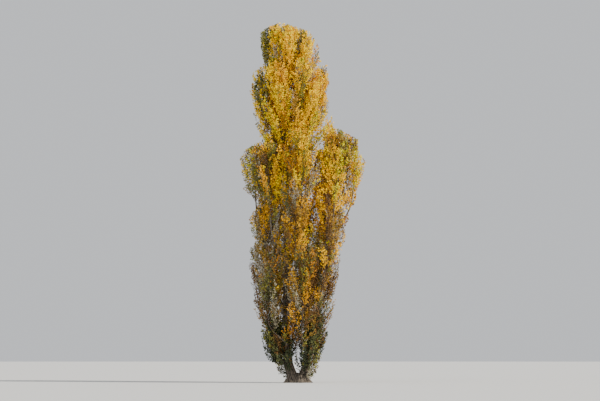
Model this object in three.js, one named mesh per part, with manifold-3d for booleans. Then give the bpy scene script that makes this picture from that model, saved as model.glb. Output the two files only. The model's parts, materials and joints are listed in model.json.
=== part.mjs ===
// A tall, narrow poplar in autumn leaf: a bole that forks low into two stems, steep boughs that fan up
// from both stems, and upright masses of leaves that stand round them to the top of the crown.
// Millimetres, +Z up, +X to the viewer's right, +Y away from the viewer. The origin is the middle of the
// flat cut under the bole, at ground level.
import * as THREE from "three";
import { mergeVertices } from "three/addons/utils/BufferGeometryUtils.js";
import Module from "manifold-3d";

const wasm = await Module();
wasm.setup();

// The crown's outline as [height, reach to the left, reach to the right], seen from the front.
const OUTLINE = [
  [0, 900, 900],
  [1300, 1870, 1500],
  [2900, 2260, 1850],
  [4500, 2800, 2160],
  [7600, 2900, 2650],
  [9200, 2900, 2900],
  [10800, 2950, 3430],
  [12400, 3400, 3900],
  [13400, 3600, 4060],
  [14750, 3400, 3670],
  [15700, 2600, 2600],
  [16500, 2700, 1850],
  [17500, 2900, 1800],
  [18700, 2740, 1600],
  [19500, 2100, 1370],
  [20400, 2300, 1130],
  [21400, 2270, 600],
  [22000, 1700, -700],
];
const EDGE = 1.05; // how far single leaves reach, beside the outline
const CROWN_TOP = OUTLINE[OUTLINE.length - 1][0];
const DEPTH_SHARE = 0.95; // how deep the crown is from front to back, beside its width
const DEPTH_MOST = 2750; // the shoulders stand out to the sides only

// The masses stand in rings. Heights are those of a ring's lowest and highest leaves, and turn is the
// bearing of its first mass in degrees (0 is to the right and 90 to the back). Reach is how far out the
// masses stand beside the crown's edge, and aside moves them to the right. Lean tilts them outwards, rise
// lifts the tops of the right-hand ones above the left-hand ones, and drift moves all tops to the right.
// Boughs leave their stems from the height depart on, one step above the other. Sprays is how many a mass
// holds.
const RINGS = [
  {
    name: "skirt", count: 4, turn: 32, base: 300, top: 4300,
    girth: 900, reach: 1, lean: 9, sprays: 11,
  },
  {
    name: "inner", count: 1, turn: 270, base: 1500, top: 6300,
    girth: 850, reach: 0.08, aside: 100, lean: 1, sprays: 12,
  },
  {
    name: "low", count: 6, turn: -10, base: 3100, top: 8400,
    girth: 1150, reach: 1.03, lean: 8, sprays: 12, depart: 1300, step: 120,
  },
  {
    name: "middle", count: 6, turn: 26, base: 6400, top: 12600,
    girth: 1200, reach: 1, lean: 4, sprays: 12, depart: 2700, step: 380,
  },
  {
    name: "core", count: 1, turn: 90, base: 5600, top: 11200,
    girth: 900, reach: 0.1, aside: 250, lean: 1, sprays: 10,
  },
  {
    name: "shoulder", count: 8, turn: 0, base: 10100, top: 15300,
    girth: 1150, reach: 1, lean: 4, sprays: 11, rise: 350, depart: 5600, step: 400,
  },
  {
    name: "heart", count: 2, turn: 0, base: 10000, top: 16200,
    girth: 950, reach: 0.5, lean: 1, sprays: 10,
  },
  {
    name: "upper", count: 6, turn: 0, base: 13200, top: 19500,
    girth: 1150, reach: 1, lean: -1, sprays: 15, rise: -150,
  },
  {
    name: "top", count: 4, turn: 180, base: 17300, top: 22700,
    girth: 1050, reach: 1, lean: -3, sprays: 16, rise: -150, drift: -350,
  },
];
const SKIRT_BEARINGS = [32, 148, 212, 328]; // the foot is bare in front and behind
const INSET = 0.7; // how far a mass's axis stands inside the outline, as a share of its girth
const WIDEST = 0.48; // where a mass is widest, as a share of its height
const SPACE_MOST = 1.3; // how far leaves may fill the room beside a mass, as a share of its girth
const HEIGHT_SPREAD = 320; // how far the masses of a ring differ in height
const STRIDE = 5; // boughs leave in the order 0, 5, 10 ... so that neighbours leave at different heights
const HEIRS = { stem_left: "top_1", stem_right: "shoulder_1" }; // the mass that stands on each stem's tip

// Trunk and stems.
const BOLE = {
  radius: 440,
  top: 600,
  flare: 230,
  flareHeight: 300,
  wide: 1.28,
  sides: 20,
  lobes: 5,
  lobeShare: 0.14,
  lobeTurn: 0.7,
};
const BOLE_PROFILE = [
  [0, 1],
  [0.1, 1],
  [0.25, 1],
  [0.5, 0.98],
  [0.75, 0.88],
  [0.92, 0.62],
]; // height and radius beside the bole's own
const FORK_CUT = 1000; // height of the flat cuts where the two stems meet the trunk
const STEM_TAPER = 0.9; // 1 is an even taper, less is faster near the foot
const STEM_LEFT = {
  foot: 320,
  tip: 42,
  sides: 10,
  steps: 14,
  points: [
    [-230, 0, 200],
    [-540, 0, 1150],
    [-700, 20, 3000],
    [-650, 60, 7000],
    [-780, -30, 11500],
    [-700, 30, 15000],
  ],
};
const STEM_RIGHT = {
  foot: 285,
  tip: 50,
  sides: 10,
  steps: 10,
  points: [
    [210, 0, 200],
    [570, 0, 1150],
    [640, -40, 3000],
    [800, 20, 6200],
  ],
};
const BOUGH = {
  foot: 110,
  stemShare: 0.62, // the foot's most, beside its stem's own radius
  tip: 46,
  taper: 0.8,
  collar: 0.3,
  collarFade: 14,
  sides: 6,
  steps: 5,
  angle: 27,
};
const HOLD_DROP = 1500; // a mass's stem is the nearer one at this height below its base
const HOLD_MARGIN = 500; // the right stem holds nothing further than this above its tip

// Inside the masses.
const SPINE = { foot: 46, tip: 24, sides: 3, steps: 3, angle: 24, ends: 0.86, drop: 350, least: 605 };
const SHOOT = { start: 200, height: 430, angle: 60 }; // where the skirt's spines leave the bole
const TWIG = { foot: 16, tip: 9, angle: 28, first: 0.1, last: 0.8, most: 2000, least: 450, step: 60 };
const TWIG_FAN = [-100, 35, -40, 105]; // the bearings of a mass's twigs, in degrees from the outward one
const TWIG_SPREAD = { place: 0.03, bearing: 20, angle: 6 }; // chance in each of them
const SPRAY = { length: 1000, width: 780, thick: 26, widest: 0.5, fold: 60, upright: 0.25, tilt: 1.5 };
const SPRAY_ROOM = 0.7; // what a twig leaves free ahead of its tip, as a share of a spray's length
const SPRAY_SIZES = [1.9, 1.7, 1.5, 1.35, 1.2, 1.05, 0.9, 0.75, 0.6]; // tried in turn until one fits
const TIP_SIZES = [1.2, 1, 0.8, 0.6, 0.5, 0.4]; // the same on the ends of twigs and spines
const SPRAY_HANDS = [0.85, 1.2, 0.65]; // how far a spray turns from its twig, tried in turn
const SPRAY_TILTS = 3; // how many tilts of its face are tried
const SPRAYS_ON_TWIG = [0.36, 0.74];
const ROOT_DEPTH = 5; // how deep a spray's root is sunk beyond the middle of its twig
const TIP_DEPTH = 22; // how deep a spray is sunk on the end of its twig
const FILL_TRIES = 40; // how often a further spray is tried on the spine of a mass
const FILL_CHOICES = 14; // from how many places the one with most room is taken
const FILL_FAN = 130; // how far those stand from the outward bearing, in degrees
const FILL_SPAN = [0.03, 0.97]; // the shares of the spine between which they stand
const FILL_PLACE = 400; // how far along and out from its root a spray's middle is taken to be

const GAP = 0.3; // clear space between faces that touch on the real tree
const LAP = 1e-4; // how far the two parts of a grown stem lap, as a share of its length
const LIMB_CLEARANCE = 22; // what leaves and other limbs keep from a limb
const NEIGHBOUR_CLEARANCE = 0.01; // what leaves keep from the next mass, as a share of the girth
const FOOT_SHIFT = 150; // how far a limb's foot moves up or down its stem to pass the others
const WAY_SHIFT = 260; // how far its way moves aside
const SHIFTS = [0, 1, -1, 2, -2, 3]; // tried in turn
const SEED = 4239;

const radians = THREE.MathUtils.degToRad;
const mix = THREE.MathUtils.lerp;
const UP = new THREE.Vector3(0, 0, 1);

// A repeatable source of chance: each call of the function it returns gives a number from 0 to 1.
function dice(seed) {
  let state = seed >>> 0;
  return () => {
    state = (state + 0x6d2b79f5) >>> 0;
    let t = Math.imul(state ^ (state >>> 15), 1 | state);
    t = (t + Math.imul(t ^ (t >>> 7), 61 | t)) ^ t;
    return ((t ^ (t >>> 14)) >>> 0) / 4294967296;
  };
}

// A number from -size to size.
const either = (roll, size) => (2 * roll() - 1) * size;

// The crown's middle, half width and half depth at a height.
function crownAt(height) {
  const last = OUTLINE.length - 1;
  const found = OUTLINE.findIndex((row) => row[0] >= height);
  const next = found < 0 ? last : Math.max(1, found);
  const [below, above] = [OUTLINE[next - 1], OUTLINE[next]];
  const share = THREE.MathUtils.clamp((height - below[0]) / (above[0] - below[0]), 0, 1);
  const left = mix(below[1], above[1], share);
  const right = mix(below[2], above[2], share);
  const half = (left + right) / 2;
  return { middle: (right - left) / 2, half, deep: Math.min(half * DEPTH_SHARE, DEPTH_MOST) };
}

function inCrown(point) {
  if (point.z > CROWN_TOP) return false;
  const crown = crownAt(point.z);
  return Math.hypot((point.x - crown.middle) / crown.half, point.y / crown.deep) <= EDGE;
}

// Solids and geometries.
function solid(geometry) {
  const bare = geometry.clone();
  bare.deleteAttribute("normal");
  bare.deleteAttribute("uv");
  const merged = mergeVertices(bare, 1e-3);
  return new wasm.Manifold(
    new wasm.Mesh({
      numProp: 3,
      vertProperties: new Float32Array(merged.attributes.position.array),
      triVerts: new Uint32Array(merged.index.array),
    }),
  );
}

function geometryOf(manifold) {
  const mesh = manifold.getMesh();
  const geometry = new THREE.BufferGeometry();
  geometry.setAttribute("position", new THREE.BufferAttribute(mesh.vertProperties, 3));
  geometry.setIndex(new THREE.BufferAttribute(mesh.triVerts, 1));
  geometry.computeVertexNormals();
  return geometry;
}

// Moves each vertex of a geometry to where place(vertex) puts it.
function reshape(geometry, place) {
  const position = geometry.attributes.position;
  const vertex = new THREE.Vector3();
  for (let i = 0; i < position.count; i += 1) {
    vertex.fromBufferAttribute(position, i);
    place(vertex);
    position.setXYZ(i, vertex.x, vertex.y, vertex.z);
  }
  return geometry;
}

// The largest body of a solid, so that a scrap cut loose by a limb is dropped.
function largest(made) {
  return made.decompose().sort((a, b) => b.volume() - a.volume())[0];
}

function boxOf(made) {
  const { min, max } = made.boundingBox();
  return new THREE.Box3(new THREE.Vector3(...min), new THREE.Vector3(...max));
}

// A solid with its box, against which other pieces are tried.
const obstacle = (made) => ({ made, box: boxOf(made) });

function meets(made, box, other) {
  return box.intersectsBox(other.box) && made.intersect(other.made).volume() > 0;
}

// The cross directions of a limb at a point of its curve. Limbs are steep, so +Y is never along one.
function crossAt(curve, t) {
  const along = curve.getTangent(t);
  const side = new THREE.Vector3(0, 1, 0).cross(along).normalize();
  return { along, side, back: along.clone().cross(side) };
}

// A closed, tapering tube along a limb's curve: a lathed rod of unit height, bent to the curve.
function tube(limb, from = 0, to = 1, extra = 0) {
  const rings = Math.ceil(limb.steps * (to - from) - 0.1);
  const profile = [new THREE.Vector2(0, 0)];
  for (let i = 0; i <= rings; i += 1) profile.push(new THREE.Vector2(1, i / rings));
  profile.push(new THREE.Vector2(0, 1));
  const rod = new THREE.LatheGeometry(profile, limb.sides);
  return reshape(rod, (v) => {
    const t = mix(from, to, v.y);
    const { side, back } = crossAt(limb.curve, t);
    const radius = limb.radiusAt(t) + extra;
    const centre = limb.curve.getPoint(t);
    const [x, y] = [v.z * radius, v.x * radius];
    v.copy(centre).addScaledVector(side, x).addScaledVector(back, y);
  });
}

// A limb: its curve and its radius along it, with samples that the clearance test reads.
function makeLimb(name, curve, shape, radiusAt) {
  const limb = { name, curve, sides: shape.sides, steps: shape.steps, radiusAt };
  const count = shape.steps * 3;
  limb.samples = [];
  for (let i = 0; i <= count; i += 1) {
    limb.samples.push({ point: curve.getPoint(i / count), radius: radiusAt(i / count) });
  }
  return limb;
}

// The share of a curve at which it reaches a height.
function shareAtHeight(curve, height) {
  let [low, high] = [0, 1];
  for (let i = 0; i < 30; i += 1) {
    const middle = (low + high) / 2;
    if (curve.getPoint(middle).z < height) low = middle;
    else high = middle;
  }
  return low;
}

// How far a point lies from a limb's bark.
function clearance(limb, point) {
  let least = Infinity;
  const segment = new THREE.Line3();
  const nearest = new THREE.Vector3();
  for (let i = 1; i < limb.samples.length; i += 1) {
    segment.set(limb.samples[i - 1].point, limb.samples[i].point);
    segment.closestPointToPoint(point, true, nearest);
    least = Math.min(least, nearest.distanceTo(point) - limb.samples[i - 1].radius);
  }
  return least;
}

// Whether a limb keeps clear of the others on its way. It may be close to them only at its foot.
function passes(limb, others) {
  const way = limb.samples.slice(Math.floor(limb.samples.length / 5));
  return others.every((other) =>
    way.every((sample) => clearance(other, sample.point) > sample.radius + LIMB_CLEARANCE));
}

// Makes a limb with its foot at the wanted height and its way straight out, or as near to that as the others
// leave room.
function findWay(make, others) {
  for (const rise of SHIFTS) {
    for (const aside of SHIFTS) {
      const limb = make(rise * FOOT_SHIFT, aside * WAY_SHIFT);
      if (passes(limb, others)) return limb;
    }
  }
  return make(0, 0);
}

// The space of a mass is a flame round a straight axis: its half width at a share of its height.
function flame(share) {
  if (share <= 0 || share >= 1) return 0;
  return Math.sqrt(Math.sin(Math.PI * Math.pow(share, Math.log(0.5) / Math.log(WIDEST))));
}

// How near the edge of a mass's flame a point is: 0 on its axis and 1 at its edge.
function edgeShare(mass, point) {
  const axis = mass.top.clone().sub(mass.base);
  const offset = point.clone().sub(mass.base);
  const share = offset.dot(axis) / axis.lengthSq();
  const half = flame(share) * mass.girth;
  if (half < 1) return Infinity;
  return offset.addScaledVector(axis, -share).length() / half;
}

// Places the masses of every ring inside the crown's outline.
function placeMasses(roll) {
  const masses = [];
  for (const ring of RINGS) {
    for (let k = 0; k < ring.count; k += 1) {
      const even = ring.turn + (360 / ring.count) * k;
      const bearing = radians(ring.name === "skirt" ? SKIRT_BEARINGS[k] : even);
      const out = new THREE.Vector3(Math.cos(bearing), Math.sin(bearing), 0);
      const base = ring.base + either(roll, HEIGHT_SPREAD);
      const top = ring.top + either(roll, HEIGHT_SPREAD) + (ring.rise ?? 0) * out.x;
      const widest = mix(base, top, WIDEST);
      const crown = crownAt(widest);
      const inset = ring.girth * INSET;
      const middle = new THREE.Vector3(
        crown.middle + (crown.half - inset) * out.x * ring.reach + (ring.aside ?? 0),
        (crown.deep - inset) * out.y * ring.reach,
        widest,
      );
      const slope = Math.tan(radians(ring.lean));
      const foot = middle.clone().addScaledVector(out, -slope * (widest - base)).setZ(base);
      const tip = middle.clone().addScaledVector(out, slope * (top - widest)).setZ(top);
      tip.x += ring.drift ?? 0;
      masses.push({
        name: `${ring.name}_${k + 1}`,
        ring,
        order: k,
        out,
        girth: ring.girth,
        base: foot,
        top: tip,
      });
    }
  }
  return masses;
}

// The curve from a foot to a point, leaving and arriving in given directions, with its way moved aside.
function wayCurve(start, leaving, end, arrival, aside) {
  const third = start.distanceTo(end) / 3;
  const across = UP.clone().cross(end.clone().sub(start)).setLength(aside);
  return new THREE.CubicBezierCurve3(
    start,
    start.clone().addScaledVector(leaving, third),
    end.clone().addScaledVector(arrival, -third).add(across),
    end,
  );
}

// The same from a stem, which it leaves at an angle.
function reachCurve(start, end, arrival, angle, aside) {
  const outward = end.clone().sub(start).setZ(0).normalize();
  const leaving = UP.clone().multiplyScalar(Math.cos(radians(angle)));
  leaving.addScaledVector(outward, Math.sin(radians(angle)));
  return wayCurve(start, leaving, end, arrival, aside);
}

function makeStem(name, shape, masses) {
  const heir = masses.find((mass) => mass.name === HEIRS[name]);
  const points = [...shape.points.map((p) => new THREE.Vector3(...p)), heir.base.clone()];
  const curve = new THREE.CatmullRomCurve3(points);
  const stem = makeLimb(name, curve, shape, (t) => mix(shape.foot, shape.tip, Math.pow(t, STEM_TAPER)));
  stem.cut = shareAtHeight(curve, FORK_CUT);
  return stem;
}

// One bough: it swells at its collar where it leaves its stem, and tapers to the mass at its tip.
function makeBough(mass, stem, rise, aside) {
  const { depart, step, count } = mass.ring;
  const height = depart + step * ((mass.order * STRIDE) % count) + rise;
  const share = shareAtHeight(stem.curve, Math.max(height, FORK_CUT + 2 * FOOT_SHIFT));
  const axis = mass.top.clone().sub(mass.base).normalize();
  const curve = reachCurve(stem.curve.getPoint(share), mass.base.clone(), axis, BOUGH.angle, aside);
  const foot = Math.min(BOUGH.foot, BOUGH.stemShare * stem.radiusAt(share));
  const radiusAt = (t) => {
    const collar = 1 + BOUGH.collar * Math.exp(-BOUGH.collarFade * t);
    return mix(foot, BOUGH.tip, Math.pow(t, BOUGH.taper)) * collar;
  };
  return makeLimb(`bough_${mass.name}`, curve, BOUGH, radiusAt);
}

// The stem inside a mass: it goes on from the tip of its holder, or leaves the bole or a stem.
function makeSpine(mass, rise, aside) {
  const axis = mass.top.clone().sub(mass.base);
  const highest = (CROWN_TOP - SPINE.least - mass.base.z) / axis.z;
  const end = mass.base.clone().addScaledVector(axis, Math.min(SPINE.ends, highest));
  const along = axis.clone().normalize();
  let curve;
  if (mass.holder) {
    const leaving = mass.holder.curve.getTangent(1);
    const start = mass.holder.curve.getPoint(1).addScaledVector(leaving, GAP);
    curve = wayCurve(start, leaving, end, along, aside);
  } else if (mass.ring.name === "skirt") {
    const start = new THREE.Vector3(SHOOT.start * Math.sign(mass.out.x), 0, SHOOT.height + rise);
    curve = reachCurve(start, end, along, SHOOT.angle, aside);
  } else {
    const tipHeight = mass.stem.curve.getPoint(1).z;
    const height = Math.min(mass.base.z, tipHeight - mass.order * SPINE.drop) - SPINE.drop + rise;
    const start = mass.stem.curve.getPoint(shareAtHeight(mass.stem.curve, height));
    curve = reachCurve(start, end, along, SPINE.angle, aside);
  }
  const foot = mass.holder ? mass.holder.radiusAt(1) : SPINE.foot;
  return makeLimb(`spine_${mass.name}`, curve, SPINE, (t) => mix(foot, SPINE.tip, t));
}

// A three-sided tapering twig between two points: a prism with flat ends.
function twigGeometry(from, to) {
  const length = from.distanceTo(to);
  const turn = new THREE.Quaternion().setFromUnitVectors(UP, to.clone().sub(from).normalize());
  const places = [];
  for (const [radius, height] of [[TWIG.foot, 0], [TWIG.tip, length]]) {
    for (let i = 0; i < 3; i += 1) {
      const angle = (i / 3) * 2 * Math.PI;
      places.push(radius * Math.cos(angle), radius * Math.sin(angle), height);
    }
  }
  const faces = [0, 2, 1, 3, 4, 5];
  for (let i = 0; i < 3; i += 1) {
    const next = (i + 1) % 3;
    faces.push(i, next, 3 + next, i, 3 + next, 3 + i);
  }
  const rod = new THREE.BufferGeometry();
  rod.setAttribute("position", new THREE.Float32BufferAttribute(places, 3));
  rod.setIndex(faces);
  return rod.applyQuaternion(turn).translate(from.x, from.y, from.z);
}

// A spray of leaves: a pointed blade with eight faces, folded along its middle.
function sprayGeometry(root, along, flat, size, depth) {
  const across = along.clone().cross(flat).normalize();
  const face = across.clone().cross(along).normalize();
  const blade = new THREE.OctahedronGeometry(1);
  return reshape(blade, (v) => {
    const y = v.y < -0.5 ? -depth : v.y > 0.5 ? SPRAY.length * size : SPRAY.widest * SPRAY.length * size;
    const x = (v.x * SPRAY.width * size) / 2;
    const z = (v.z * SPRAY.thick) / 2 + Math.abs(v.x) * SPRAY.fold * size;
    v.copy(root).addScaledVector(along, y).addScaledVector(across, x).addScaledVector(face, z);
  });
}

function corners(geometry) {
  const position = geometry.attributes.position;
  const found = new Map();
  for (let i = 0; i < position.count; i += 1) {
    const v = new THREE.Vector3().fromBufferAttribute(position, i);
    found.set(v.toArray().map(Math.round).join(), v);
  }
  return [...found.values()];
}

// Whether a point lies in the crown, and nearer to this mass than to any other.
function inSpace(mass, near, point) {
  const own = edgeShare(mass, point);
  if (own > SPACE_MOST || !inCrown(point)) return false;
  return near.every((other) => edgeShare(other, point) > own + NEIGHBOUR_CLEARANCE);
}

// The direction square to a spine that stands a number of degrees from its mass's outward one.
function outwards(mass, along, degrees) {
  const out = mass.out.clone().addScaledVector(along, -mass.out.dot(along)).normalize();
  return out.applyAxisAngle(along, radians(degrees));
}

// The length at which a twig comes near the edge of its mass's space.
function twigReach(mass, near, start, direction) {
  let length = TWIG.most;
  const tipInside = () => {
    const ahead = length + SPRAY.length * SPRAY_ROOM;
    return inSpace(mass, near, start.clone().addScaledVector(direction, ahead));
  };
  while (length > TWIG.least && !tipInside()) length -= TWIG.step;
  return length;
}

// The pieces of a mass: its spine, twigs that leave the spine in turn round it, and sprays on the end and on
// both sides of each twig. A twig or spray that would leave the space or touch a limb is left out.
function growMass(mass, near, obstacles, roll) {
  const spine = mass.spine;
  const pieces = [obstacle(solid(tube(spine)))];
  const centres = [];

  const addPiece = (geometry, holder) => {
    const made = solid(geometry);
    const box = boxOf(made);
    if (obstacles.some((other) => meets(made, box, other))) return null;
    if (pieces.some((other) => other !== holder && meets(made, box, other))) return null;
    const piece = { made, box };
    pieces.push(piece);
    return piece;
  };

  const addSpray = (root, toward, out, across, depth, holder) => {
    const hands = across ? SPRAY_HANDS : [0];
    for (const size of across ? SPRAY_SIZES : TIP_SIZES) {
      for (const hand of hands) {
        const heading = toward.clone();
        if (across) heading.addScaledVector(across, hand);
        heading.normalize();
        for (let tilt = 0; tilt < SPRAY_TILTS; tilt += 1) {
          const flat = out.clone().applyAxisAngle(heading, either(roll, SPRAY.tilt));
          const blade = sprayGeometry(root, heading, flat, size, depth);
          if (!corners(blade).every((v) => inSpace(mass, near, v))) continue;
          if (!addPiece(blade, holder)) continue;
          centres.push(root.clone().addScaledVector(heading, (SPRAY.length * size) / 2));
          return;
        }
      }
    }
  };

  const twigs = [];
  TWIG_FAN.forEach((bearing, i) => {
    const even = mix(TWIG.first, TWIG.last, i / (TWIG_FAN.length - 1));
    const t = even + either(roll, TWIG_SPREAD.place);
    const start = spine.curve.getPoint(t);
    const along = spine.curve.getTangent(t);
    const out = outwards(mass, along, bearing + either(roll, TWIG_SPREAD.bearing));
    const angle = radians(TWIG.angle + either(roll, TWIG_SPREAD.angle));
    const direction = along.clone().multiplyScalar(Math.cos(angle)).addScaledVector(out, Math.sin(angle));
    const length = twigReach(mass, near, start, direction);
    const tip = start.clone().addScaledVector(direction, length);
    const piece = addPiece(twigGeometry(start, tip), pieces[0]);
    if (piece) twigs.push({ piece, start, direction, length, out, along });
  });

  const end = spine.curve.getPoint(1);
  const tipAlong = spine.curve.getTangent(1);
  addSpray(end.clone(), tipAlong, mass.out, null, TIP_DEPTH, pieces[0]);
  for (const twig of twigs) {
    const tip = twig.start.clone().addScaledVector(twig.direction, twig.length);
    addSpray(tip, twig.direction, twig.out, null, TIP_DEPTH, twig.piece);
  }
  for (const twig of twigs) {
    const aside = twig.out.clone().cross(twig.along).normalize();
    const toward = twig.direction.clone().addScaledVector(twig.along, SPRAY.upright);
    SPRAYS_ON_TWIG.forEach((share, n) => {
      const root = twig.start.clone().addScaledVector(twig.direction, twig.length * share);
      addSpray(root, toward, twig.out, aside.clone().multiplyScalar(n % 2 ? 1 : -1), ROOT_DEPTH, twig.piece);
    });
  }
  const room = (place) => {
    if (!inSpace(mass, near, place)) return 0;
    return Math.min(...centres.map((centre) => centre.distanceTo(place)));
  };
  for (let i = 0; i < FILL_TRIES && centres.length < mass.ring.sprays; i += 1) {
    const choices = Array.from({ length: FILL_CHOICES }, () => {
      const t = mix(...FILL_SPAN, roll());
      const along = spine.curve.getTangent(t);
      const out = outwards(mass, along, either(roll, FILL_FAN));
      const root = spine.curve.getPoint(t);
      const place = root.clone().addScaledVector(along, FILL_PLACE).addScaledVector(out, FILL_PLACE);
      return { root, along, out, place };
    });
    choices.sort((a, b) => room(b.place) - room(a.place));
    const { root, along, out } = choices[0];
    addSpray(root, along, mass.out, out, ROOT_DEPTH, pieces[0]);
  }
  return pieces.map((piece) => piece.made);
}

// The bole: a lathed foot with root lobes that fade upwards, wider across the fork, and the first stretch
// of both stems, each ending in a flat cut.
function trunkSolid(stems, extra = 0) {
  const profile = [new THREE.Vector2(0, 0)];
  for (const [level, share] of BOLE_PROFILE) {
    const height = level * BOLE.top;
    const flare = BOLE.flare * Math.exp(-height / BOLE.flareHeight);
    profile.push(new THREE.Vector2(BOLE.radius * share + flare + extra, height));
  }
  profile.push(new THREE.Vector2(0, BOLE.top + extra));
  const bole = new THREE.LatheGeometry(profile, BOLE.sides).rotateX(Math.PI / 2);
  reshape(bole, (v) => {
    const turn = Math.atan2(v.y, v.x);
    const fade = Math.exp(-v.z / BOLE.flareHeight);
    const lobe = Math.cos(BOLE.lobes * turn + BOLE.lobeTurn) * BOLE.lobeShare * fade;
    v.x *= (1 + lobe) * BOLE.wide;
    v.y *= 1 + lobe;
  });
  let trunk = solid(bole);
  for (const stem of stems) trunk = trunk.add(solid(tube(stem, 0, stem.cut, extra)));
  return trunk;
}

// Gives each mass the limb that holds it. The right stem holds what stands nearer to it, below its top.
function holdMasses(masses, stems) {
  const [left, right] = stems;
  const boughs = [];
  const made = [...stems];
  const apart = (stem, mass) => {
    const beside = stem.curve.getPoint(Math.min(1, shareAtHeight(stem.curve, mass.base.z - HOLD_DROP)));
    return beside.setZ(0).distanceTo(mass.base.clone().setZ(0));
  };
  for (const mass of masses) {
    const high = mass.base.z > right.curve.getPoint(1).z + HOLD_MARGIN;
    mass.stem = !high && apart(right, mass) < apart(left, mass) ? right : left;
    mass.holder = stems.find((own) => HEIRS[own.name] === mass.name);
    if (mass.ring.depart && !mass.holder) {
      const others = made.filter((other) => other !== mass.stem);
      const bough = findWay((rise, aside) => makeBough(mass, mass.stem, rise, aside), others);
      bough.parent = mass.stem;
      mass.holder = bough;
      boughs.push(bough);
      made.push(bough);
    }
    const rest = made.filter((other) => other !== mass.stem && other !== mass.holder);
    mass.spine = findWay((rise, aside) => makeSpine(mass, rise, aside), rest);
    made.push(mass.spine);
  }
  return boughs;
}

function neighbours(mass, masses) {
  const middle = mass.base.clone().lerp(mass.top, 0.5);
  const half = mass.base.distanceTo(mass.top) / 2;
  const nearest = new THREE.Vector3();
  return masses.filter((other) => {
    if (other === mass) return false;
    new THREE.Line3(other.base, other.top).closestPointToPoint(middle, true, nearest);
    return nearest.distanceTo(middle) < half + (mass.girth + other.girth) * SPACE_MOST;
  });
}

const LOOKS = {
  bark: new THREE.MeshStandardMaterial({ color: 0x6a5b4c, roughness: 0.95, metalness: 0 }),
  limb_bark: new THREE.MeshStandardMaterial({ color: 0x8b7b68, roughness: 0.9, metalness: 0 }),
  skirt: new THREE.MeshStandardMaterial({ color: 0x4a4a2c, roughness: 0.8, metalness: 0 }),
  inner: new THREE.MeshStandardMaterial({ color: 0x6b5a2e, roughness: 0.8, metalness: 0 }),
  low: new THREE.MeshStandardMaterial({ color: 0x8a6a30, roughness: 0.75, metalness: 0 }),
  middle: new THREE.MeshStandardMaterial({ color: 0xa87c2a, roughness: 0.75, metalness: 0 }),
  shoulder: new THREE.MeshStandardMaterial({ color: 0xc2942e, roughness: 0.7, metalness: 0 }),
  core: new THREE.MeshStandardMaterial({ color: 0x9a722a, roughness: 0.75, metalness: 0 }),
  heart: new THREE.MeshStandardMaterial({ color: 0xb58429, roughness: 0.7, metalness: 0 }),
  upper: new THREE.MeshStandardMaterial({ color: 0xd3a437, roughness: 0.7, metalness: 0 }),
  top: new THREE.MeshStandardMaterial({ color: 0xd6b03c, roughness: 0.7, metalness: 0 }),
};

function meshOf(name, made, material) {
  const mesh = new THREE.Mesh(geometryOf(made), material);
  mesh.name = name;
  return mesh;
}

function buildTree() {
  const tree = new THREE.Group();
  const roll = dice(SEED);
  const masses = placeMasses(roll);
  const stems = [makeStem("stem_left", STEM_LEFT, masses), makeStem("stem_right", STEM_RIGHT, masses)];
  const boughs = holdMasses(masses, stems);

  const grown = new Map();
  for (const stem of stems) {
    const upper = solid(tube(stem, stem.cut, 1, GAP));
    grown.set(stem, upper.add(solid(tube(stem, 0, stem.cut + LAP, GAP))));
  }
  const grownTrunk = trunkSolid(stems, GAP);
  tree.add(meshOf("trunk", trunkSolid(stems), LOOKS.bark));
  for (const stem of stems) {
    const start = stem.cut + GAP / stem.curve.getLength();
    tree.add(meshOf(stem.name, solid(tube(stem, start, 1)), LOOKS.bark));
  }
  for (const bough of boughs) {
    const made = largest(solid(tube(bough)).subtract(grown.get(bough.parent)));
    tree.add(meshOf(bough.name, made, LOOKS.limb_bark));
  }

  const limbs = [...stems, ...boughs].map((limb) => obstacle(solid(tube(limb, 0, 1, LIMB_CLEARANCE))));
  limbs.push(obstacle(trunkSolid(stems, LIMB_CLEARANCE)));
  const spines = new Map();
  for (const mass of masses) spines.set(mass, obstacle(solid(tube(mass.spine, 0, 1, LIMB_CLEARANCE))));
  const grownMasses = [];
  for (const mass of masses) {
    const otherSpines = masses.filter((other) => other !== mass).map((other) => spines.get(other));
    const obstacles = [...limbs, ...otherSpines, ...grownMasses];
    let made = wasm.Manifold.union(growMass(mass, neighbours(mass, masses), obstacles, roll));
    if (!mass.holder) made = made.subtract(grown.get(mass.stem)).subtract(grownTrunk);
    made = largest(made);
    grownMasses.push(obstacle(made));
    tree.add(meshOf(`leaves_${mass.name}`, made, LOOKS[mass.ring.name]));
  }
  return tree;
}

export default buildTree();
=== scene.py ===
"""A tall, narrow poplar in autumn leaf, with bark, twigs and leaves on a bole, stems and boughs."""

import functools
import json
import math

import bmesh
import bpy
import numpy as np
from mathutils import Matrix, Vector, noise

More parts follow.
